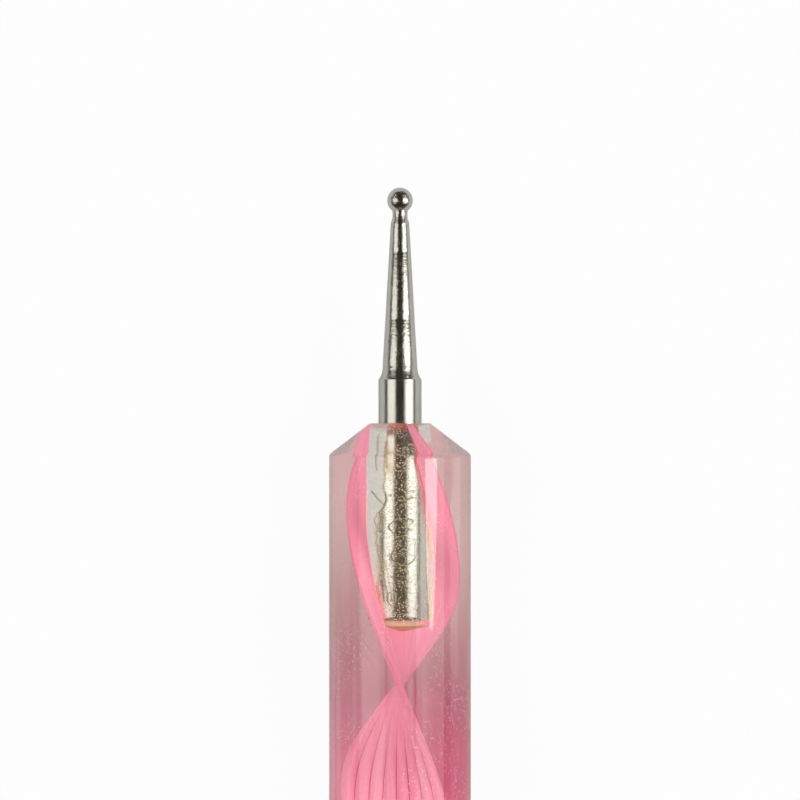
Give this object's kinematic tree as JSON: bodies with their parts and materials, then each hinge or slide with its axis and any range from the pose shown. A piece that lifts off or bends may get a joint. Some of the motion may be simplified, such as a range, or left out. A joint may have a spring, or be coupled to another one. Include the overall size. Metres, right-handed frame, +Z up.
{
  "type": "double-ended embossing stylus",
  "caption": "Embossing stylus with a round clear handle, a ribbed pink ribbon twisted inside it, and a steel ball tip glued into each end.",
  "frame": {"origin": "on the handle's axis, halfway along the handle and the whole stylus", "axes": "+Y along the axis toward the fine ball tip, +Z up as the stylus lies on its side with the ribbon standing on edge 14.7 mm behind the front end face, +X across"},
  "size_m": [0.008, 0.1266, 0.008],
  "materials": {
    "clear_plastic": "clear cast plastic, polished barrel, turned end cones",
    "pink_plastic": "pink ribbed ribbon, slightly pearly",
    "polished_steel": "turned steel, bright, faint turning rings",
    "amber_adhesive": "hard amber adhesive with small air bubbles"
  },
  "bodies": {
    "root": {"clear_handle": "clear_plastic", "twisted_ribbon": "pink_plastic", "front_tip": "polished_steel", "rear_tip": "polished_steel", "front_adhesive": "amber_adhesive", "rear_adhesive": "amber_adhesive"}
  },
  "joints": []
}
